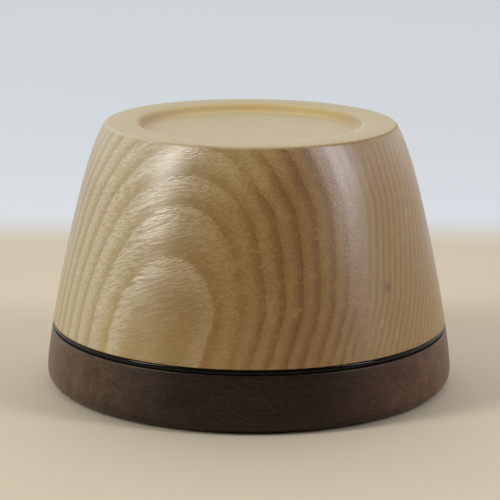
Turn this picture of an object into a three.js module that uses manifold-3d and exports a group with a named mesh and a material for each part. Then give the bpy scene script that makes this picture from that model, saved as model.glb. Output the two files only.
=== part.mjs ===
// A turned wooden money box. A hollow ash body pushes down onto a walnut base, and a
// thin black ring marks the joint between them. A rubber ring in the base's spigot
// grips the body, and pulling the base off gives the coins back.
//
// Millimetres, +Z up. The origin is the centre of the base's underside.

import * as THREE from "three";
import { mergeVertices } from "three/addons/utils/BufferGeometryUtils.js";
import Module from "manifold-3d";

// The outside, one continuous turned curve over base, ring and body
const HEIGHT = 77.2;
const WIDEST_RADIUS = 60;
const WIDEST_HEIGHT = 4.8;
const FOOT_ROUND = 4.2;
const WALL_TAPER = 15.2;
const WALL_TAPER_POWER = 1.28;
const RIM_LEAN = 2.2;
const RIM_LEAN_POWER = 10;
const EDGE_ROUND = 0.4;

// The joint line
const BASE_TOP = 16.7;
const RING_THICKNESS = 1.4;
const RING_INSET = 0.25;
const RING_ROUND = 0.5;
const SEAT_GAP = 0.1;

// The dished top of the body
const RIM_ROUND = 1.3;
const RECESS_LIP_RADIUS = 32.8;
const RECESS_LIP_ROUND = 0.8;
const RECESS_FLOOR_RADIUS = 31;
const RECESS_DEPTH = 2.3;
const RECESS_COVE = 1.4;

// The hollow of the body
const WALL_THICKNESS = 8;
const BORE_HEIGHT = 10.2;
const CEILING_THICKNESS = 8;
const CEILING_ROUND = 12;
const MOUTH_ROUND = 0.6;

// The coin slot through the back of the wall
const SLOT_LENGTH = 35;
const SLOT_WIDTH = 5;
const SLOT_HEIGHT = 56;

// The base: spigot, dish and foot
const SPIGOT_CLEARANCE = 0.5;
const SPIGOT_HEIGHT = 9;
const SPIGOT_WALL = 6;
const SPIGOT_CHAMFER = 0.9;
const DISH_FLOOR = 9.5;
const DISH_COVE = 4;
const FOOT_INNER_RADIUS = 46;
const FOOT_RECESS_DEPTH = 1.2;
const FOOT_RECESS_COVE = 1;

// The rubber ring and its groove
const O_RING_SECTION = 2.6;
const O_RING_GAP = 0.25;
const O_RING_RISE = 4.6;

// Smoothness
const TURNS = 72;
const WALL_STEP = 6;
const ARC_STEP = THREE.MathUtils.degToRad(30);
const SECTION_SIDES = 12;

// Derived places
const RING_BOTTOM = BASE_TOP + SEAT_GAP;
const RING_TOP = RING_BOTTOM + RING_THICKNESS;
const BODY_BOTTOM = RING_TOP + SEAT_GAP;
const BORE_TOP = BODY_BOTTOM + BORE_HEIGHT;
const BORE_RADIUS = wallRadius(BORE_TOP) - WALL_THICKNESS;
const RECESS_FLOOR = HEIGHT - RECESS_DEPTH;
const CEILING = RECESS_FLOOR - CEILING_THICKNESS;
const SPIGOT_RADIUS = BORE_RADIUS - SPIGOT_CLEARANCE;
const SPIGOT_TOP = BASE_TOP + SPIGOT_HEIGHT;
const O_RING_RADIUS = BORE_RADIUS - O_RING_GAP - O_RING_SECTION / 2;
const O_RING_HEIGHT = BASE_TOP + O_RING_RISE;
const GROOVE_RADIUS = O_RING_RADIUS - O_RING_SECTION / 2 - O_RING_GAP;
const GROOVE_HALF = O_RING_SECTION / 2 + O_RING_GAP;

const wasm = await Module();
wasm.setup();

// The outer wall's radius at a height: a gentle taper that leans in faster by the rim.
function wallRadius(height) {
  const rise = (height - WIDEST_HEIGHT) / (HEIGHT - WIDEST_HEIGHT);
  return WIDEST_RADIUS - WALL_TAPER * rise ** WALL_TAPER_POWER - RIM_LEAN * rise ** RIM_LEAN_POWER;
}

// Corners of the outer wall between two heights, both ends left out.
function wallCorners(from, to) {
  const count = Math.round((to - from) / WALL_STEP);
  const corners = [];
  for (let i = 1; i < count; i += 1) {
    const height = from + ((to - from) * i) / count;
    corners.push([wallRadius(height), height]);
  }
  return corners;
}

// The arc that rounds a corner, from the side towards "before" to the side towards "after".
function cornerArc(before, corner, after, round) {
  const back = before.clone().sub(corner).normalize();
  const on = after.clone().sub(corner).normalize();
  const halfAngle = Math.acos(back.dot(on)) / 2;
  const start = corner.clone().addScaledVector(back, round / Math.tan(halfAngle));
  const inward = back.clone().add(on).normalize();
  const centre = corner.clone().addScaledVector(inward, round / Math.sin(halfAngle));
  const sweep = (Math.PI - 2 * halfAngle) * -Math.sign(back.cross(on));
  const steps = Math.ceil(Math.abs(sweep) / ARC_STEP);
  const arc = [];
  for (let i = 0; i <= steps; i += 1) {
    arc.push(start.clone().rotateAround(centre, (sweep * i) / steps));
  }
  return arc;
}

// Turns corners of [radius, height, round] into a smooth outline.
function outline(corners) {
  const points = corners.map(([radius, height]) => new THREE.Vector2(radius, height));
  return corners.flatMap(([, , round], i) => {
    if (!round) return [points[i]];
    return cornerArc(points[i - 1], points[i], points[i + 1], round);
  });
}

// Spins an outline round the Z axis into a closed solid.
function turned(points) {
  return new THREE.LatheGeometry(points, TURNS).rotateX(Math.PI / 2);
}

// A closed geometry as a manifold solid.
function toSolid(geometry) {
  geometry.deleteAttribute("normal");
  geometry.deleteAttribute("uv");
  const merged = mergeVertices(geometry);
  const corners = merged.index.array;
  const triangles = [];
  for (let i = 0; i < corners.length; i += 3) {
    const [a, b, c] = corners.slice(i, i + 3);
    if (a !== b && b !== c && c !== a) triangles.push(a, b, c);
  }
  const mesh = new wasm.Mesh({
    numProp: 3,
    vertProperties: merged.attributes.position.array,
    triVerts: new Uint32Array(triangles),
  });
  return new wasm.Manifold(mesh);
}

// A manifold solid back as a geometry.
function toGeometry(solid) {
  const mesh = solid.getMesh();
  const geometry = new THREE.BufferGeometry();
  geometry.setAttribute("position", new THREE.BufferAttribute(mesh.vertProperties, 3));
  geometry.setIndex(new THREE.BufferAttribute(mesh.triVerts, 1));
  geometry.computeVertexNormals();
  return geometry;
}

function bodyBlank() {
  return turned(
    outline([
      [0, CEILING],
      [wallRadius(CEILING) - WALL_THICKNESS, CEILING, CEILING_ROUND],
      [BORE_RADIUS, BORE_TOP],
      [BORE_RADIUS, BODY_BOTTOM, MOUTH_ROUND],
      [wallRadius(BODY_BOTTOM), BODY_BOTTOM, EDGE_ROUND],
      ...wallCorners(BODY_BOTTOM, HEIGHT),
      [wallRadius(HEIGHT), HEIGHT, RIM_ROUND],
      [RECESS_LIP_RADIUS, HEIGHT, RECESS_LIP_ROUND],
      [RECESS_FLOOR_RADIUS, RECESS_FLOOR, RECESS_COVE],
      [0, RECESS_FLOOR],
    ]),
  );
}

// A level slot with round ends, as the cutter that passes through the back wall.
function slotCutter() {
  const halfWidth = SLOT_WIDTH / 2;
  const centre = SLOT_LENGTH / 2 - halfWidth;
  const shape = new THREE.Shape();
  shape.absarc(centre, 0, halfWidth, -Math.PI / 2, Math.PI / 2);
  shape.absarc(-centre, 0, halfWidth, Math.PI / 2, (3 * Math.PI) / 2);
  const cutter = new THREE.ExtrudeGeometry(shape, {
    depth: WIDEST_RADIUS,
    curveSegments: SECTION_SIDES / 2,
    bevelEnabled: false,
  });
  return cutter.rotateX(-Math.PI / 2).translate(0, 0, SLOT_HEIGHT);
}

function ashBody() {
  return toGeometry(toSolid(bodyBlank()).subtract(toSolid(slotCutter())));
}

function blackRing() {
  const inner = SPIGOT_RADIUS + SEAT_GAP;
  return turned(
    outline([
      [inner, RING_TOP],
      [inner, RING_BOTTOM],
      [wallRadius(RING_BOTTOM) - RING_INSET, RING_BOTTOM, RING_ROUND],
      [wallRadius(RING_TOP) - RING_INSET, RING_TOP, RING_ROUND],
      [inner, RING_TOP],
    ]),
  );
}

function walnutBase() {
  const dishRadius = SPIGOT_RADIUS - SPIGOT_WALL;
  return turned(
    outline([
      [0, FOOT_RECESS_DEPTH],
      [FOOT_INNER_RADIUS, FOOT_RECESS_DEPTH, FOOT_RECESS_COVE],
      [FOOT_INNER_RADIUS, 0],
      [WIDEST_RADIUS, 0, FOOT_ROUND],
      [WIDEST_RADIUS, WIDEST_HEIGHT],
      ...wallCorners(WIDEST_HEIGHT, BASE_TOP),
      [wallRadius(BASE_TOP), BASE_TOP, EDGE_ROUND],
      [SPIGOT_RADIUS, BASE_TOP],
      [SPIGOT_RADIUS, O_RING_HEIGHT - GROOVE_HALF],
      [GROOVE_RADIUS, O_RING_HEIGHT - GROOVE_HALF],
      [GROOVE_RADIUS, O_RING_HEIGHT + GROOVE_HALF],
      [SPIGOT_RADIUS, O_RING_HEIGHT + GROOVE_HALF],
      [SPIGOT_RADIUS, SPIGOT_TOP - SPIGOT_CHAMFER],
      [SPIGOT_RADIUS - SPIGOT_CHAMFER, SPIGOT_TOP],
      [dishRadius, SPIGOT_TOP, EDGE_ROUND],
      [dishRadius, DISH_FLOOR, DISH_COVE],
      [0, DISH_FLOOR],
    ]),
  );
}

function oRing() {
  return new THREE.TorusGeometry(O_RING_RADIUS, O_RING_SECTION / 2, SECTION_SIDES, TURNS).translate(
    0,
    0,
    O_RING_HEIGHT,
  );
}

function piece(name, geometry, color, roughness) {
  const material = new THREE.MeshStandardMaterial({ color, roughness, metalness: 0 });
  const mesh = new THREE.Mesh(geometry, material);
  mesh.name = name;
  return mesh;
}

const moneyBox = new THREE.Group();
moneyBox.add(
  piece("walnut_base", walnutBase(), 0x3d2a20, 0.4),
  piece("o_ring", oRing(), 0x141414, 0.6),
  piece("black_ring", blackRing(), 0x0b0b0c, 0.2),
  piece("ash_body", ashBody(), 0xb89a6c, 0.35),
);

export default moneyBox;
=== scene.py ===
"""Looks for a turned wooden money box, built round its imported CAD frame.

The four pieces are turned again at a much finer pitch, to sizes read from the frame, and
each gets a procedural material: lacquered ash, dark walnut, polished black and rubber.
"""

import math

import bmesh
import bpy
from mathutils import Matrix, Vector


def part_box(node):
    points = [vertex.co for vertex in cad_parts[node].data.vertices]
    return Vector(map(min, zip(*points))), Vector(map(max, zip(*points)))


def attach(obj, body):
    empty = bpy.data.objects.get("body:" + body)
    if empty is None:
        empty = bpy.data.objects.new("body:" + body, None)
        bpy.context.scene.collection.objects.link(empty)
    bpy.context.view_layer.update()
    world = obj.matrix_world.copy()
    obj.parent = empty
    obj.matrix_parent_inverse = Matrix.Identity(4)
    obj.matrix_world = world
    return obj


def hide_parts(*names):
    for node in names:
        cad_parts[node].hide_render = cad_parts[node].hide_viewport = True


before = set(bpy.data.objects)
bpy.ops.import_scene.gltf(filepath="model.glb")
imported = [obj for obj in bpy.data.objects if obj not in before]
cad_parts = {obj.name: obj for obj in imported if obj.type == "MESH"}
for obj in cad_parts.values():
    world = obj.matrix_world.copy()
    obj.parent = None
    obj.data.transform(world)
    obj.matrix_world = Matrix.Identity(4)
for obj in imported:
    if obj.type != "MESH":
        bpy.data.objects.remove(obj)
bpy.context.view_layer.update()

MM = 0.001

# Sizes read from the frame, in millimetres
BODY_LOW, BODY_HIGH = (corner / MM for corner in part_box("ash_body"))
RING_LOW, RING_HIGH = (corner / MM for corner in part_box("black_ring"))
RUBBER_LOW, RUBBER_HIGH = (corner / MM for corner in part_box("o_ring"))
BASE_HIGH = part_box("walnut_base")[1] / MM
HEIGHT = BODY_HIGH.z
WIDEST_RADIUS = BASE_HIGH.x

# The outside, one continuous turned curve over base, ring and body
WIDEST_HEIGHT = 4.8
FOOT_ROUND = 4.2
WALL_TAPER = 15.2
WALL_TAPER_POWER = 1.28
RIM_LEAN = 2.2
RIM_LEAN_POWER = 10
EDGE_ROUND = 0.4
SEAT_GAP = 0.1

# The dished top of the body
RIM_ROUND = 1.3
RECESS_LIP_RADIUS = 32.8
RECESS_LIP_ROUND = 2.2
RECESS_FLOOR_RADIUS = 31
RECESS_DEPTH = 2.3
RECESS_COVE = 2.6

# The hollow of the body
WALL_THICKNESS = 8
BORE_HEIGHT = 10.2
CEILING_THICKNESS = 8
CEILING_ROUND = 12
MOUTH_ROUND = 0.6

# The coin slot through the back of the wall
SLOT_LENGTH = 35
SLOT_WIDTH = 5
SLOT_HEIGHT = 56
SLOT_EDGE_ROUND = 0.9
SLOT_END_SIDES = 16
SLOT_EDGE_STEPS = 6

# The base: spigot, dish and foot
SPIGOT_CLEARANCE = 0.5
SPIGOT_WALL = 6
SPIGOT_CHAMFER = 0.9
DISH_FLOOR = 9.5
DISH_COVE = 4
FOOT_INNER_RADIUS = 46
FOOT_RECESS_DEPTH = 1.2
FOOT_RECESS_COVE = 0.8
GROOVE_GAP = 0.25
BLACK_RING_ROUND = 0.5

# Smoothness: steps round the axis, along the wall and round an arc, and what counts as sharp
TURNS = 288
WALL_STEP = 1.5
ARC_STEP = math.radians(9)
SHARP_ANGLE = math.radians(32)
WELD_DISTANCE = 0.002

# Derived places
BORE_TOP = BODY_LOW.z + BORE_HEIGHT
RECESS_FLOOR = HEIGHT - RECESS_DEPTH
CEILING = RECESS_FLOOR - CEILING_THICKNESS
BASE_TOP = RING_LOW.z - SEAT_GAP
SPIGOT_TOP = BASE_HIGH.z

# Ash: how its growth rings and fibre lie, in radians and millimetres
RING_AZIMUTH = math.radians(-26)
RING_PITCH = 2.85
RING_OFFSET = 52.42
RING_MIDDLE = 45
RING_FOOT_BEND = 34
RING_RIM_BEND = 60
RING_TOP_BEND = 67.5
FIBRE_RISE = math.atan(0.30)

# Ash: after how many rings the slow change of their spacing comes round again
SWELL_PERIOD = 17.7

# Ash: sizes of its figure, as (length along the fibre, thickness), in millimetres
SWAY_SIZE = (14, 8)
DRIFT_SIZE = (40, 14)
RING_WANDER_SIZE = (22, 9)
RING_FRAY_SIZE = (2.5, 1.2)
PATCH_SIZE = (6, 3)
STREAK_SIZE = (9, 0.5)
FLECK_SIZE = (1.6, 0.4)
MOTTLE_SIZE = (1.3, 0.6)

# Ash: how much its figure moves the fibre (mm), the rings (rings) and the tone
SWAY = 1.6
RING_WANDER = 0.08
RING_FRAY = 0.06
STREAK_TONE = 0.3
STREAK_TONE_IN_PALE_BAND = 0.34
FLECK_TONE = 0.42
MOTTLE_TONE = 0.1
MOTTLE_TONE_WHERE_LIT = 0.6
DRIFT_TONE = 0.25
# On level faces a paler, flatter tone is painted reflection of the bright room
LEVEL_SHEEN_TONE = 0.46
LEVEL_SHEEN_TONE_KEPT = 0.25

# How pale a growth ring is from its outer edge inwards: lit along the fibre, across it, end on;
# across the fibre pale and dark swap sides, which is painted fibre sheen
FACE_BAND = [(0, 0.2), (0.08, 0), (0.25, 0.2), (0.5, 0.7), (0.75, 1), (0.985, 0.85), (1, 0.2)]
CROSSED_BAND = [
    (0, 0.2), (0.04, 0.7), (0.3, 1), (0.5, 0.85),
    (0.7, 0.3), (0.88, 0), (0.985, 0), (1, 0.2),
]
END_BAND = [
    (0, 0.7), (0.12, 0.25), (0.25, 0), (0.4, 0.2),
    (0.6, 0.75), (0.78, 1), (0.92, 0.9), (1, 0.7),
]
# Where the open pores lie in a ring
PORE_BAND = [(0, 0), (0.3, 0.05), (0.55, 0.35), (0.75, 0.75), (0.86, 1), (0.985, 1), (1, 0)]

# How strongly the fine streaks show, from fibre that dives away left to fibre that dives right
STREAK_STRENGTH = [(0.1, 0.35), (0.25, 0.6), (0.42, 1), (0.6, 0.6), (0.85, 0.5)]

# Ash colours where the fibre dives away to the left, lies level, and dives away to the right:
# partly the wood's own tone, partly painted sheen where it faces the left lamp and painted shade
# where it faces the front
ASH_BROWN_AND_SHADE = [
    (0.05, (0.30, 0.21, 0.075)),
    (0.35, (0.345, 0.235, 0.085)),
    (0.65, (0.235, 0.12, 0.028)),
    (0.82, (0.175, 0.078, 0.018)),
    (0.95, (0.24, 0.13, 0.033)),
    (0.99, (0.22, 0.115, 0.025)),
]
ASH_PALE_AND_SHEEN = [
    (0.05, (0.39, 0.30, 0.14)),
    (0.35, (0.60, 0.52, 0.34)),
    (0.65, (0.45, 0.295, 0.11)),
    (0.82, (0.395, 0.215, 0.072)),
    (0.95, (0.43, 0.26, 0.085)),
    (0.99, (0.39, 0.235, 0.066)),
]

# Ash: colours laid over the rings, and tints that multiply what is there, some of them painted
# sheen, light and shade
PATCH_COLOUR = (0.44, 0.27, 0.11)
AMBER_TINT = (1.0, 0.96, 0.80)
# Painted sheen: a paler, bluish tint high on the front of the wall
HIGH_WALL_SHEEN_TINT = (1.2, 1.33, 1.5)
# Painted reflection of the bright room: a paler, bluish tint on level faces
LEVEL_SHEEN_TINT = (1.16, 1.28, 1.58)
FAR_RIM_TINT = (0.92, 0.95, 0.84)
# The dish wall: painted shade at its sides, painted light at its back, and patches
DISH_WALL_SIDE_PAINTED_SHADE = (0.40, 0.27, 0.125)
DISH_WALL_BACK_PAINTED_LIGHT = (0.60, 0.44, 0.19)
DISH_WALL_PATCH = (0.50, 0.32, 0.13)
KNOT_COLOUR = (0.15, 0.075, 0.03)
KNOT_STRENGTH = 0.75
KNOT_AZIMUTH = math.radians(45)
KNOT_HEIGHT = 37
KNOT_RADIUS = 2.3
KNOT_CORE_RADIUS = 0.2

# Walnut facing the front (painted shade), left and right (painted light), tints for its dark and
# pale figure, and flecks
WALNUT_FRONT_PAINTED_SHADE = (0.021, 0.0115, 0.0085)
WALNUT_LEFT_PAINTED_LIGHT = (0.100, 0.058, 0.032)
WALNUT_RIGHT_PAINTED_LIGHT = (0.120, 0.052, 0.030)
WALNUT_DARK_TINT = (0.62, 0.59, 0.57)
WALNUT_PALE_TINT = (1.25, 1.25, 1.25)
WALNUT_FLECK = (0.085, 0.055, 0.04)

# The darkest and palest of the black ring and of the rubber
BLACK_COLOURS = ((0.004, 0.004, 0.002), (0.009, 0.008, 0.006))
RUBBER_COLOURS = ((0.012, 0.012, 0.012), (0.022, 0.021, 0.020))

# The floor: its radius (m), colours outwards from the box, where they change behind the box
# (mm), and how many times farther out they change beside it and in front
FLOOR_RADIUS = 6
FLOOR_WARM = (0.61, 0.515, 0.375)
FLOOR_COOL = (0.68, 0.715, 0.735)
# The farthest, palest colour is partly the backdrop and partly painted light for the lamps'
# falloff
FLOOR_FAR_PAINTED_LIGHT = (0.90, 0.93, 0.97)
FLOOR_WARM_EDGE = (175, 235)
FLOOR_COOL_EDGE = (300, 1200)
FLOOR_STRETCH = 3

# The world: light from in front of the box and from beyond it, what the camera sees behind the
# box, and the directions along Y between which one light turns into the other
FRONT_LIGHT = (0.0, 0.0, 0.0)
FAR_LIGHT = (0.95, 0.96, 0.97)
BACKDROP = (0.64, 0.67, 0.70)
LIGHT_SPREAD = (-0.5, 0.6)

# Softboxes: name, azimuth and elevation in degrees, distance, width and height in metres,
# radiance, colour
LIGHTS = [
    ("left_window", -66, 33, 1.2, 0.26, 1.00, 9.0, (0.98, 1.0, 0.99)),
    ("left_wall", -100, 15, 1.3, 1.20, 0.70, 0.15, (1.0, 1.0, 1.0)),
    ("back_panel", 180, 50, 1.3, 1.40, 0.60, 0.6, (1.0, 1.0, 1.0)),
    ("right_window", 71, 33, 1.2, 0.22, 1.00, 8.0, (0.88, 0.90, 1.0)),
]

# The camera: place in metres, lens and sensor in millimetres, tilt down and roll
CAMERA_PLACE = (0, -0.6175, 0.1808)
CAMERA_TILT = math.radians(12.970)
CAMERA_ROLL = math.radians(0.4025)
CAMERA_LENS = 153.92
CAMERA_SENSOR = 36
CAMERA_SHIFT = 0.00058
CAMERA_NEAREST = 0.01


def wall_radius(height):
    """The outer wall's radius: a gentle taper that leans in faster by the rim."""
    rise = (height - WIDEST_HEIGHT) / (HEIGHT - WIDEST_HEIGHT)
    return WIDEST_RADIUS - WALL_TAPER * rise**WALL_TAPER_POWER - RIM_LEAN * rise**RIM_LEAN_POWER


BORE_RADIUS = wall_radius(BORE_TOP) - WALL_THICKNESS
SPIGOT_RADIUS = BORE_RADIUS - SPIGOT_CLEARANCE


# Outlines and turned meshes


def wall_corners(low, high):
    """Corners of the outer wall between two heights, both ends left out."""
    count = round((high - low) / WALL_STEP)
    heights = [low + (high - low) * i / count for i in range(1, count)]
    return [(wall_radius(height), height) for height in heights]


def corner_arc(before, corner, after, rounding):
    """The arc that rounds a corner, from the side towards before to the side towards after."""
    back = (before - corner).normalized()
    on = (after - corner).normalized()
    half_angle = back.angle(on) / 2
    start = corner + back * (rounding / math.tan(half_angle))
    centre = corner + (back + on).normalized() * (rounding / math.sin(half_angle))
    side = back.x * on.y - back.y * on.x
    sweep = math.copysign(math.pi - 2 * half_angle, -side)
    steps = math.ceil(abs(sweep) / ARC_STEP)
    arm = start - centre
    turns = [Matrix.Rotation(sweep * i / steps, 2) for i in range(steps + 1)]
    return [tuple(centre + turn @ arm) for turn in turns]


def outline(corners):
    """Turns corners of (radius, height) or (radius, height, rounding) into a smooth outline."""
    spots = [Vector(corner[:2]) for corner in corners]
    points = []
    for i, corner in enumerate(corners):
        if len(corner) == 2:
            points.append(corner)
        else:
            points += corner_arc(spots[i - 1], spots[i], spots[(i + 1) % len(spots)], corner[2])
    return points


def turned(name, points):
    """Spins an outline of (radius, height) in millimetres round Z into a closed piece."""
    mesh = bmesh.new()
    rings = []
    for radius, height in points:
        count = TURNS if radius > 0 else 1
        ring = []
        for i in range(count):
            angle = 2 * math.pi * i / TURNS
            place = Vector((radius * math.cos(angle), radius * math.sin(angle), height))
            ring.append(mesh.verts.new(place * MM))
        rings.append(ring)
    for lower, upper in zip(rings, rings[1:] + rings[:1]):
        if len(lower) == len(upper) == 1:
            continue
        for i in range(TURNS):
            j = i + 1
            loop = [lower[i % len(lower)], lower[j % len(lower)]]
            loop += [upper[j % len(upper)], upper[i % len(upper)]]
            mesh.faces.new(list(dict.fromkeys(loop)))
    return made(name, mesh)


def made(name, mesh):
    """A smooth shaded object from a bmesh, with its faces pointing out."""
    bmesh.ops.recalc_face_normals(mesh, faces=mesh.faces)
    data = bpy.data.meshes.new(name)
    mesh.to_mesh(data)
    mesh.free()
    piece = bpy.data.objects.new(name, data)
    bpy.context.scene.collection.objects.link(piece)
    soften(piece)
    return piece


def soften(piece):
    """Smooth shading that breaks at real corners."""
    piece.data.polygons.foreach_set("use_smooth", [True] * len(piece.data.polygons))
    piece.data.set_sharp_from_angle(angle=SHARP_ANGLE)


# The pieces


def body_outline():
    """Up the axis inside the hollow, down the bore, up the outer wall and in over the dish."""
    return outline(
        [
            (0, CEILING),
            (wall_radius(CEILING) - WALL_THICKNESS, CEILING, CEILING_ROUND),
            (BORE_RADIUS, BORE_TOP),
            (BORE_RADIUS, BODY_LOW.z, MOUTH_ROUND),
            (wall_radius(BODY_LOW.z), BODY_LOW.z, EDGE_ROUND),
            *wall_corners(BODY_LOW.z, HEIGHT),
            (wall_radius(HEIGHT), HEIGHT, RIM_ROUND),
            (RECESS_LIP_RADIUS, HEIGHT, RECESS_LIP_ROUND),
            (RECESS_FLOOR_RADIUS, RECESS_FLOOR, RECESS_COVE),
            (0, RECESS_FLOOR),
        ]
    )


def stadium(grow):
    """A level slot outline with round ends, in (x, z), grown outwards all round."""
    radius = SLOT_WIDTH / 2 + grow
    centre = (SLOT_LENGTH - SLOT_WIDTH) / 2
    steps = round(2 * centre / WALL_STEP)
    points = []
    for side, first in ((1, -math.pi / 2), (-1, math.pi / 2)):
        for i in range(SLOT_END_SIDES + 1):
            angle = first + math.pi * i / SLOT_END_SIDES
            points.append((side * centre + radius * math.cos(angle), radius * math.sin(angle)))
        for i in range(1, steps):
            points.append((side * centre * (1 - 2 * i / steps), side * radius))
    return points


def slot_cutter():
    """What the coin slot takes away: a level bar that flares as it leaves either face."""
    flare = []
    for i in range(SLOT_EDGE_STEPS + 1):
        angle = math.pi / 2 * i / SLOT_EDGE_STEPS
        grow = SLOT_EDGE_ROUND * (1 - math.sin(angle))
        flare.append((grow, SLOT_EDGE_ROUND * (1 - math.cos(angle))))
    sections = [(grow, depth, 0) for grow, depth in flare]
    sections += [(grow, -depth, WALL_THICKNESS) for grow, depth in reversed(flare)]
    loops = [[(x, WIDEST_RADIUS, SLOT_HEIGHT + rise) for x, rise in stadium(SLOT_EDGE_ROUND)]]
    for grow, depth, inset in sections:
        loop = []
        for x, rise in stadium(grow):
            height = SLOT_HEIGHT + rise
            y = math.sqrt((wall_radius(height) - inset) ** 2 - x**2) - depth
            loop.append((x, y, height))
        loops.append(loop)
    loops.append([(x, SLOT_LENGTH / 2, height) for x, y, height in loops[0]])
    mesh = bmesh.new()
    rows = [[mesh.verts.new(Vector(point) * MM) for point in loop] for loop in loops]
    for near, far in zip(rows, rows[1:]):
        for i in range(len(near)):
            j = (i + 1) % len(near)
            mesh.faces.new((near[i], near[j], far[j], far[i]))
    mesh.faces.new(rows[0])
    mesh.faces.new(rows[-1])
    return made("slot_cutter", mesh)


def cut(piece, cutter):
    """Cuts the cutter's shape out of the piece for good, and welds the points this doubles."""
    modifier = piece.modifiers.new("slot", "BOOLEAN")
    modifier.operation = "DIFFERENCE"
    modifier.solver = "EXACT"
    modifier.object = cutter
    evaluated = piece.evaluated_get(bpy.context.evaluated_depsgraph_get())
    piece.data = bpy.data.meshes.new_from_object(evaluated)
    piece.modifiers.clear()
    bpy.data.objects.remove(cutter)
    mesh = bmesh.new()
    mesh.from_mesh(piece.data)
    bmesh.ops.remove_doubles(mesh, verts=mesh.verts, dist=WELD_DISTANCE * MM)
    mesh.to_mesh(piece.data)
    mesh.free()
    soften(piece)


def ash_body():
    """The hollow body with its coin slot, lacquered outside and bare inside."""
    piece = turned("body", body_outline())
    cut(piece, slot_cutter())
    piece.data.materials.clear()
    piece.data.materials.append(ash("lacquered_ash"))
    piece.data.materials.append(ash("bare_ash", lacquered=False))
    for face in piece.data.polygons:
        height = face.center.z / MM
        depth = wall_radius(height) - math.hypot(face.center.x, face.center.y) / MM
        inside = depth > SLOT_EDGE_ROUND * 1.5 and height < RECESS_FLOOR - 1
        face.material_index = int(inside)
    return piece


def black_ring():
    """The thin ring between base and body, fixed to the base round its spigot."""
    inner = SPIGOT_RADIUS + SEAT_GAP
    inset = wall_radius(RING_LOW.z) - RING_HIGH.x
    points = outline(
        [
            (inner, RING_LOW.z),
            (wall_radius(RING_LOW.z) - inset, RING_LOW.z, BLACK_RING_ROUND),
            (wall_radius(RING_HIGH.z) - inset, RING_HIGH.z, BLACK_RING_ROUND),
            (inner, RING_HIGH.z),
        ]
    )
    piece = turned("accent_ring", points)
    piece.data.materials.append(polished_black())
    return piece


def walnut_base():
    """The base: a disc with a relieved foot, and a grooved spigot with a dish in its top."""
    dish_radius = SPIGOT_RADIUS - SPIGOT_WALL
    rubber_height = (RUBBER_LOW.z + RUBBER_HIGH.z) / 2
    groove_half = (RUBBER_HIGH.z - RUBBER_LOW.z) / 2 + GROOVE_GAP
    groove_radius = RUBBER_HIGH.x - (RUBBER_HIGH.z - RUBBER_LOW.z) - GROOVE_GAP
    points = outline(
        [
            (0, FOOT_RECESS_DEPTH),
            (FOOT_INNER_RADIUS, FOOT_RECESS_DEPTH, FOOT_RECESS_COVE),
            (FOOT_INNER_RADIUS, 0, EDGE_ROUND / 2),
            (WIDEST_RADIUS, 0, FOOT_ROUND),
            (WIDEST_RADIUS, WIDEST_HEIGHT),
            *wall_corners(WIDEST_HEIGHT, BASE_TOP),
            (wall_radius(BASE_TOP), BASE_TOP, EDGE_ROUND),
            (SPIGOT_RADIUS, BASE_TOP),
            (SPIGOT_RADIUS, rubber_height - groove_half),
            (groove_radius, rubber_height - groove_half),
            (groove_radius, rubber_height + groove_half),
            (SPIGOT_RADIUS, rubber_height + groove_half),
            (SPIGOT_RADIUS, SPIGOT_TOP - SPIGOT_CHAMFER, EDGE_ROUND),
            (SPIGOT_RADIUS - SPIGOT_CHAMFER, SPIGOT_TOP, EDGE_ROUND / 2),
            (dish_radius, SPIGOT_TOP, EDGE_ROUND),
            (dish_radius, DISH_FLOOR, DISH_COVE),
            (0, DISH_FLOOR),
        ]
    )
    piece = turned("base", points)
    piece.data.materials.append(walnut())
    return piece


def rubber_ring():
    """The round rubber ring in the spigot's groove."""
    section = (RUBBER_HIGH.z - RUBBER_LOW.z) / 2
    centre = Vector((RUBBER_HIGH.x - section, (RUBBER_LOW.z + RUBBER_HIGH.z) / 2))
    sides = round(2 * math.pi / ARC_STEP)
    turns = [Matrix.Rotation(2 * math.pi * i / sides, 2) for i in range(sides)]
    points = [tuple(centre + turn @ Vector((section, 0))) for turn in turns]
    piece = turned("grip_ring", points)
    piece.data.materials.append(rubber())
    return piece


# Material nodes


class Value:
    """A node's output that takes arithmetic, where each step adds a Math node."""

    def __init__(self, graph, socket):
        self.graph = graph
        self.socket = socket

    def math(self, operation, *others):
        inputs = dict(enumerate((self, *others)))
        return self.graph.node("ShaderNodeMath", inputs, operation=operation)

    def __add__(self, other):
        return self.math("ADD", other)

    def __sub__(self, other):
        return self.math("SUBTRACT", other)

    def __mul__(self, other):
        return self.math("MULTIPLY", other)

    def __truediv__(self, other):
        return self.math("DIVIDE", other)


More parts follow.
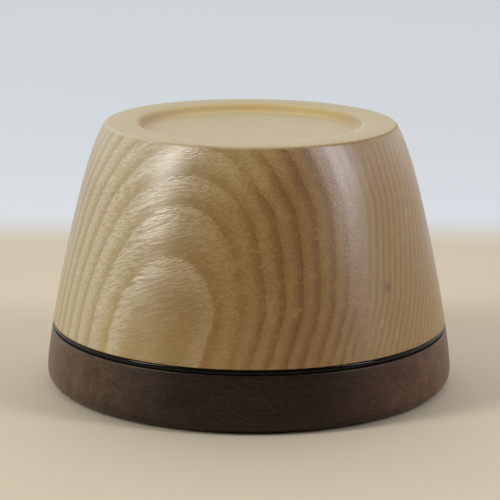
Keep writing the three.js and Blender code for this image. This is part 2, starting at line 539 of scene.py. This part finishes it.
class Graph:
    """A material under construction."""

    def __init__(self, name):
        self.material = bpy.data.materials.new(name)
        self.material.use_nodes = True
        self.tree = self.material.node_tree
        self.tree.nodes.clear()

    def node(self, kind, inputs, output=0, **settings):
        added = self.tree.nodes.new(kind)
        for key, value in settings.items():
            setattr(added, key, value)
        for key, value in inputs.items():
            if isinstance(value, Value):
                self.tree.links.new(value.socket, added.inputs[key])
            else:
                added.inputs[key].default_value = value
        return Value(self, added.outputs[output]) if added.outputs else None

    def place(self):
        """Where a point lies, as x, y and z in millimetres."""
        spot = self.node("ShaderNodeTexCoord", {}, "Object")
        scaled = self.node("ShaderNodeVectorMath", {0: spot, "Scale": 1 / MM}, operation="SCALE")
        return [self.node("ShaderNodeSeparateXYZ", {0: scaled}, axis) for axis in "XYZ"]

    def vector(self, x, y, z):
        return self.node("ShaderNodeCombineXYZ", {0: x, 1: y, 2: z})

    def measure(self, operation, first, second):
        """A single value from two vectors, such as their distance or dot product."""
        inputs = {0: first, 1: second}
        return self.node("ShaderNodeVectorMath", inputs, "Value", operation=operation)

    def noise(self, vector, detail=2.0, roughness=0.5, distortion=0.0):
        """Smooth noise about 0, roughly from -1 to 1, with features about one unit across."""
        inputs = {"Vector": vector, "Scale": 1.0, "Detail": detail}
        inputs.update({"Roughness": roughness, "Distortion": distortion})
        return self.node("ShaderNodeTexNoise", inputs) * 2.0 - 1.0

    def between(self, value, low, high, out_low=0.0, out_high=1.0):
        """Eases from out_low to out_high as the value goes from low to high."""
        inputs = {"Value": value, "From Min": low, "From Max": high}
        inputs.update({"To Min": out_low, "To Max": out_high})
        return self.node("ShaderNodeMapRange", inputs, interpolation_type="SMOOTHSTEP")

    def ramp(self, factor, stops):
        """A colour or grey ramp through stops of (position, colour)."""
        value = self.node("ShaderNodeValToRGB", {"Fac": factor})
        elements = value.socket.node.color_ramp.elements
        elements[0].position = stops[0][0]
        elements[1].position = stops[-1][0]
        for position, _ in stops[1:-1]:
            elements.new(position)
        for element, (_, colour) in zip(elements, stops):
            triple = colour if isinstance(colour, tuple) else (colour,) * 3
            element.color = (*triple, 1.0)
        return value

    def grey(self, factor, stops):
        """A value that follows stops of (position, value)."""
        return self.node("ShaderNodeRGBToBW", {0: self.ramp(factor, stops)})

    def mix(self, factor, first, second, blend="MIX"):
        """Mixes two colours."""
        inputs = {0: factor, 6: opaque(first), 7: opaque(second)}
        return self.node("ShaderNodeMix", inputs, 2, data_type="RGBA", blend_type=blend)

    def bump(self, height, distance, strength=1.0):
        """Relief whose height of 1 stands for a distance in millimetres."""
        inputs = {"Height": height, "Distance": distance * MM, "Strength": strength}
        return self.node("ShaderNodeBump", inputs)

    def finish(self, **inputs):
        """Ends the material in a Principled surface with these inputs, and returns it."""
        named = {key.replace("_", " "): opaque(value) for key, value in inputs.items()}
        surface = self.node("ShaderNodeBsdfPrincipled", named)
        self.node("ShaderNodeOutputMaterial", {"Surface": surface})
        return self.material


def opaque(value):
    """A colour triple with full alpha, and anything else as it is."""
    return (*value, 1.0) if isinstance(value, tuple) and len(value) == 3 else value


class AshBlock:
    """A block of ash: where each point lies in the grain, and how its surface faces the fibre."""

    def __init__(self, graph):
        self.graph = graph
        self.x, self.y, self.z = graph.place()
        self.across = self.x * math.sin(RING_AZIMUTH) - self.y * math.cos(RING_AZIMUTH)
        self.level = self.x * math.cos(RING_AZIMUTH) + self.y * math.sin(RING_AZIMUTH)
        self.along = self.level * math.cos(FIBRE_RISE) + self.z * math.sin(FIBRE_RISE)
        over = self.z * math.cos(FIBRE_RISE) - self.level * math.sin(FIBRE_RISE)
        length, thickness = SWAY_SIZE
        spot = graph.vector(self.along / length, self.across / thickness, over / thickness)
        self.wavy = over + graph.noise(spot, 1.0) * SWAY
        facing = graph.node("ShaderNodeTexCoord", {}, "Normal")
        fibre = Vector((math.cos(RING_AZIMUTH), math.sin(RING_AZIMUTH), 0))
        self.dip = graph.measure("DOT_PRODUCT", facing, fibre)
        self.upward = graph.node("ShaderNodeSeparateXYZ", {0: facing}, "Z")
        self.level_face = graph.between(self.upward, 0.45, 0.7)
        self.high = graph.between(self.z, RECESS_FLOOR - 1, RECESS_FLOOR)

    def grain(self, size, detail=2.0, roughness=0.6):
        """Noise drawn out along the fibre."""
        length, thickness = size
        spot = (self.along / length, self.across / thickness, self.wavy / thickness)
        return self.graph.noise(self.graph.vector(*spot), detail, roughness)

    def lines(self, size, detail):
        """Grain with crisp edges, from -1 to 1."""
        return self.graph.between(self.grain(size, detail), -0.22, 0.30, -1.0, 1.0)

    def by_dip(self, stops):
        """A colour that goes with how the fibre dives into the surface."""
        return self.graph.ramp(self.dip * 0.5 + 0.5, stops)

    def rings(self):
        """How pale and how porous the wood is, by where a point lies in its growth ring."""
        graph = self.graph
        count = ring_count(self.across, self.level, self.z)
        count = count + self.grain(RING_WANDER_SIZE, 3.0) * RING_WANDER
        count = count + self.grain(RING_FRAY_SIZE) * RING_FRAY
        # Up to the first ring the count is squared, which widens the inmost oval's brown core
        inmost = count.math("MINIMUM", 1.0)
        phase = (count + inmost * inmost - inmost).math("FRACT")
        band = graph.grey(phase, FACE_BAND)
        crossed, end_on = graph.grey(phase, CROSSED_BAND), graph.grey(phase, END_BAND)
        # Across the fibre the band's pale and dark swap sides: painted fibre sheen
        band = band + graph.between(self.dip, 0.25, 0.5) * (crossed - band)
        band = band + graph.between(self.dip, 0.79, 0.91) * (end_on - band)
        return band, graph.grey(phase, PORE_BAND)


def ash(name, lacquered=True):
    """Face-grain ash: bold growth rings, each a streaky porous band beside a smooth brown one."""
    graph = Graph(name)
    block = AshBlock(graph)
    band, pores = block.rings()
    streaks = block.lines(STREAK_SIZE, 2.0) * graph.between(block.z, 15, 40, 0.35, 1.0)
    flecks = block.lines(FLECK_SIZE, 1.0)
    lit = graph.node("ShaderNodeRGBToBW", {0: block.by_dip(STREAK_STRENGTH)})
    texture = streaks * (band * STREAK_TONE_IN_PALE_BAND + STREAK_TONE)
    texture = (texture + flecks * pores * FLECK_TONE) * lit
    mottle = block.grain(MOTTLE_SIZE, 3.0, 0.7) * (lit * MOTTLE_TONE_WHERE_LIT + MOTTLE_TONE)
    tone = band + texture + mottle + block.grain(DRIFT_SIZE) * DRIFT_TONE
    # Paler, flatter tone on level faces: painted reflection of the bright room
    tone = tone + block.level_face * (tone * (LEVEL_SHEEN_TONE_KEPT - 1) + LEVEL_SHEEN_TONE)
    colour = ash_colour(block, tone, band)
    height = (pores * flecks + streaks * band) * lit * (block.level_face * -0.8 + 1.0)
    relief = graph.bump(height, 0.03)
    if not lacquered:
        return graph.finish(Base_Color=colour, Roughness=0.7, Normal=relief)
    return graph.finish(
        Base_Color=colour,
        Roughness=0.45,
        Specular_IOR_Level=0.1,
        Normal=relief,
        Coat_Weight=ash_gloss(block, tone),
        Coat_IOR=1.8,
        Coat_Roughness=0.32,
        Coat_Normal=graph.bump(height, 0.012),
    )


def ash_colour(block, tone, band):
    """The wood's colour: the rings, brown patches, warmer and darker zones, painted sheen,
    painted light on the dish wall, and the knot.
    """
    graph, y, z, dip = block.graph, block.y, block.z, block.dip
    share = graph.between(tone, -0.9, 2.1)
    # Brown and pale by fibre facing: the wood's own tone, with painted sheen on the left and
    # painted shade at the front
    colour = graph.mix(share, block.by_dip(ASH_BROWN_AND_SHADE), block.by_dip(ASH_PALE_AND_SHEEN))
    patch = graph.between(block.grain(PATCH_SIZE, 3.0), 0.0, 0.5, 0.0, 0.45)
    colour = graph.mix(patch, colour, PATCH_COLOUR)
    amber = graph.between(z, 40, 20) * graph.between(band, 0.5, 0.1)
    amber = amber * graph.between(dip, 0.5, 0.2) * graph.between(dip, -0.6, -0.3)
    colour = graph.mix(amber, colour, AMBER_TINT, "MULTIPLY")
    # Painted sheen: a paler, bluish tint high on the front of the wall
    high_wall_sheen = graph.between(z, 58, 72) * graph.between(dip, 0.1, 0.3)
    high_wall_sheen = high_wall_sheen * graph.between(dip, 0.62, 0.45)
    colour = graph.mix(high_wall_sheen, colour, HIGH_WALL_SHEEN_TINT, "MULTIPLY")
    # Painted reflection on level faces: a paler, bluish tint
    colour = graph.mix(block.level_face, colour, LEVEL_SHEEN_TINT, "MULTIPLY")
    far_rim = graph.between(y, 0, 40) * graph.between(block.upward, 0.8, 0.9) * block.high
    colour = graph.mix(far_rim, colour, FAR_RIM_TINT, "MULTIPLY")
    # Painted light and shade on the back half of the dish wall
    colour = graph.mix(dish_wall_painted_light_mask(block), colour, dish_wall_painted_light(block))
    return graph.mix(knot(block), colour, KNOT_COLOUR)


def dish_wall_painted_light_mask(block):
    """Where painted light goes: 1 on the back half of the wall of the dished top, 0 elsewhere."""
    graph = block.graph
    reach = (block.x * block.x + block.y * block.y).math("SQRT")
    within_lip = graph.between(reach, RECESS_LIP_RADIUS + 1.2, RECESS_LIP_RADIUS - 0.2)
    off_floor = graph.between(reach, RECESS_FLOOR_RADIUS - 3, RECESS_FLOOR_RADIUS + 0.3)
    return within_lip * off_floor * block.high * graph.between(block.y, -15, 20)


def dish_wall_painted_light(block):
    """Painted light and shade on the dish wall: a warm colour, paler towards the back."""
    graph = block.graph
    colour = graph.mix(graph.between(block.y, 5, 30), DISH_WALL_SIDE_PAINTED_SHADE, DISH_WALL_BACK_PAINTED_LIGHT)
    patch = graph.between(block.grain(PATCH_SIZE, 3.0), -0.4, 0.4, 0.0, 0.3)
    return graph.mix(patch, colour, DISH_WALL_PATCH)


def knot(block):
    """How much of the small knot on the right shows at a point."""
    centre = Vector((math.sin(KNOT_AZIMUTH), -math.cos(KNOT_AZIMUTH), 0))
    centre = centre * wall_radius(KNOT_HEIGHT) + Vector((0, 0, KNOT_HEIGHT))
    spot = block.graph.vector(block.x, block.y, block.z)
    distance = block.graph.measure("DISTANCE", spot, centre)
    return block.graph.between(distance, KNOT_RADIUS, KNOT_CORE_RADIUS, 0.0, KNOT_STRENGTH)


def ash_gloss(block, tone):
    """How much lacquer shines: less in brown wood and on level faces, more high on the wall."""
    graph = block.graph
    gloss = graph.between(tone, -0.2, 1.0, 0.45, 1.0)
    gloss = gloss + graph.between(block.dip, 0.2, 0.7) * (gloss * -1.0 + 0.8)
    high_wall_sheen = graph.between(block.z, 60, 72, 0.0, 0.5) * (block.level_face * -1.0 + 1.0)
    gloss = gloss + high_wall_sheen * (gloss * -1.0 + 1.0)
    gloss = gloss * (block.level_face * -0.9 + 1.0)
    return gloss * graph.between(block.dip, 0.9, 1.0, 1.0, 0.7)


def ring_count(across, level, z):
    """Counts growth rings inwards from the one that shows first, at the front left.

    The rings are layers stacked across the block. They lean with height and with the way
    along the block, and bend further near the foot, near the rim and at the very top.
    """
    rise = (z - RING_MIDDLE) / 30.0
    side = level / 50.0
    depth = across / 50.0
    foot = past(z * -1.0, -RING_FOOT_BEND)
    rim = past(z, RING_RIM_BEND)
    top = past(z, RING_TOP_BEND)
    layer = across + rise * 7.42 + side * 1.79 - rise * rise * 1.28
    layer = layer + rise * side * 3.02 - rise * depth * 5.4
    layer = layer + rim * (depth * 1.5 - side * 1.1 - 2.84) + top * 1.79
    layer = layer + foot * (depth * 0.26 - side * 1.65 - 1.87)
    inwards = (layer * -1.0 + RING_OFFSET) / RING_PITCH
    swing = inwards * (2 * math.pi / SWELL_PERIOD)
    swell = (swing.math("COSINE") - 1.0) * 0.406
    beat = (swing * 2.0).math("SINE") * 0.023 - ((swing * 2.0).math("COSINE") - 1.0) * 0.098
    return inwards + 1.0 + swell + beat


def past(height, bend):
    """How far a height is past a bend, in steps of 15 mm: 0 before it, with a soft start."""
    return (height - bend).math("SMOOTH_MAX", 0.0, 2.0) / 15.0


def walnut():
    """Dark walnut: fine pores, faint figure and a satin oil finish, with painted shade in front
    and painted light at the sides.
    """
    graph = Graph("oiled_walnut")
    x, y, z = graph.place()
    figure = graph.noise(graph.vector(x / 30, y / 4, z / 5), 3.0, 0.6, 0.6)
    pores = graph.noise(graph.vector(x / 1.6, y / 0.25, z / 0.25), 2.0, 0.6)
    blotch = graph.noise(graph.vector(x / 2, y / 2, z / 0.8), 4.0, 0.75)
    facing = graph.node("ShaderNodeTexCoord", {}, "Normal")
    aside = graph.node("ShaderNodeSeparateXYZ", {0: facing}, "X")
    # Painted shade where the base faces the front, painted light where it faces the side lamps
    colour = graph.mix(graph.between(aside, -0.3, -1.0), WALNUT_FRONT_PAINTED_SHADE, WALNUT_LEFT_PAINTED_LIGHT)
    colour = graph.mix(graph.between(aside, 0.3, 1.0), colour, WALNUT_RIGHT_PAINTED_LIGHT)
    dark = graph.mix(1.0, colour, WALNUT_DARK_TINT, "MULTIPLY")
    pale = graph.mix(1.0, colour, WALNUT_PALE_TINT, "MULTIPLY")
    colour = graph.mix(graph.between(figure * 0.7 + blotch, -0.4, 0.4), dark, pale)
    colour = graph.mix(graph.between(pores, 0.0, 0.5, 0.0, 0.45), colour, WALNUT_FLECK)
    return graph.finish(
        Base_Color=colour,
        Roughness=0.33,
        IOR=1.35,
        Specular_Tint=(1.0, 0.88, 0.76),
        Normal=graph.bump(pores, 0.04, 0.5),
    )


def polished_black():
    """Ebonised wood: nearly black, polished, with a trace of level turning lines."""
    graph = Graph("polished_black")
    x, y, z = graph.place()
    grain = graph.noise(graph.vector(x / 2.5, y / 2.5, z / 0.4), 2.0)
    return graph.finish(
        Base_Color=graph.mix(graph.between(grain, -0.5, 0.5), *BLACK_COLOURS),
        Roughness=graph.between(grain, -0.6, 0.6, 0.05, 0.09),
        Specular_IOR_Level=0.17,
        Normal=graph.bump(grain, 0.01, 0.3),
    )


def rubber():
    """Matt black rubber with a fine even grain."""
    graph = Graph("black_rubber")
    x, y, z = graph.place()
    grain = graph.noise(graph.vector(x / 0.6, y / 0.6, z / 0.6), 3.0)
    return graph.finish(
        Base_Color=graph.mix(graph.between(grain, -0.5, 0.5), *RUBBER_COLOURS),
        Roughness=graph.between(grain, -0.6, 0.6, 0.55, 0.75),
        Normal=graph.bump(grain, 0.02, 0.5),
    )


# The stage


def floor():
    """A plain pale floor, warmer by the box, cooler further out, and paler far away, where
    painted light makes up for the lamps' falloff.
    """
    bpy.ops.mesh.primitive_circle_add(vertices=128, radius=FLOOR_RADIUS, fill_type="NGON")
    ground = bpy.context.object
    ground.name = "floor"
    graph = Graph("pale_floor")
    x, y, z = graph.place()
    aside = x / FLOOR_STRETCH
    near = y.math("MINIMUM", 0.0) / FLOOR_STRETCH
    far = y.math("MAXIMUM", 0.0)
    distance = (aside * aside + near * near + far * far).math("SQRT")
    colour = graph.mix(graph.between(distance, *FLOOR_WARM_EDGE), FLOOR_WARM, FLOOR_COOL)
    # Paler far away: painted light that makes up for the lamps' falloff
    colour = graph.mix(graph.between(distance, *FLOOR_COOL_EDGE), colour, FLOOR_FAR_PAINTED_LIGHT)
    ground.data.materials.append(graph.finish(Base_Color=colour, Roughness=0.8))


def softbox(name, azimuth, elevation, distance, width, height, radiance, colour):
    """A large area light aimed at the middle of the box, with sizes in metres."""
    light = bpy.data.lights.new(name, "AREA")
    light.shape = "RECTANGLE"
    light.size = width
    light.size_y = height
    light.energy = 4 * width * height * radiance
    light.color = colour
    lamp = bpy.data.objects.new(name, light)
    bpy.context.scene.collection.objects.link(lamp)
    turn, lift = math.radians(azimuth), math.radians(elevation)
    level = math.cos(lift)
    way = Vector((math.sin(turn) * level, -math.cos(turn) * level, math.sin(lift)))
    lamp.location = Vector((0, 0, HEIGHT / 2 * MM)) + way * distance
    lamp.rotation_euler = way.to_track_quat("Z", "Y").to_euler()
    lamp.visible_camera = False


def surroundings():
    """Light from beyond the box that fades to none in front, and a plain backdrop to see."""
    world = bpy.data.worlds.new("studio")
    world.use_nodes = True
    tree = world.node_tree
    facing = tree.nodes.new("ShaderNodeTexCoord")
    axes = tree.nodes.new("ShaderNodeSeparateXYZ")
    share = tree.nodes.new("ShaderNodeMapRange")
    share.interpolation_type = "SMOOTHSTEP"
    share.inputs["From Min"].default_value = LIGHT_SPREAD[0]
    share.inputs["From Max"].default_value = LIGHT_SPREAD[1]
    rays = tree.nodes.new("ShaderNodeLightPath")
    tree.links.new(facing.outputs["Generated"], axes.inputs[0])
    tree.links.new(axes.outputs["Y"], share.inputs["Value"])
    light = world_mix(tree, share.outputs[0], opaque(FRONT_LIGHT), opaque(FAR_LIGHT))
    seen = world_mix(tree, rays.outputs["Is Camera Ray"], light, opaque(BACKDROP))
    tree.links.new(seen, tree.nodes["Background"].inputs["Color"])
    bpy.context.scene.world = world


def world_mix(tree, factor, first, second):
    """Mixes two colours of the world, each a value or another node's output."""
    mixed = tree.nodes.new("ShaderNodeMix")
    mixed.data_type = "RGBA"
    for key, value in ((0, factor), (6, first), (7, second)):
        if isinstance(value, bpy.types.NodeSocket):
            tree.links.new(value, mixed.inputs[key])
        else:
            mixed.inputs[key].default_value = value
    return mixed.outputs[2]


def camera():
    """Looks down on the box at the photograph's angle."""
    data = bpy.data.cameras.new("camera")
    data.lens = CAMERA_LENS
    data.sensor_width = CAMERA_SENSOR
    data.shift_x = CAMERA_SHIFT
    data.clip_start = CAMERA_NEAREST
    eye = bpy.data.objects.new("camera", data)
    bpy.context.scene.collection.objects.link(eye)
    tilt = Matrix.Rotation(math.pi / 2 - CAMERA_TILT, 4, "X")
    roll = Matrix.Rotation(CAMERA_ROLL, 4, "Z")
    eye.matrix_world = Matrix.Translation(CAMERA_PLACE) @ tilt @ roll
    bpy.context.scene.camera = eye


# Builder, body, CAD node and material slot of each piece
PIECES = [
    (ash_body, "body", "ash_body", "ash"),
    (black_ring, "base", "black_ring", "ebonised_wood"),
    (walnut_base, "base", "walnut_base", "walnut"),
    (rubber_ring, "base", "o_ring", "black_rubber"),
]

for build, body, node, slot in PIECES:
    piece = build()
    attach(piece, body)
    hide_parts(node)

floor()
surroundings()
for light in LIGHTS:
    softbox(*light)
camera()
bpy.context.scene.view_settings.view_transform = "Standard"
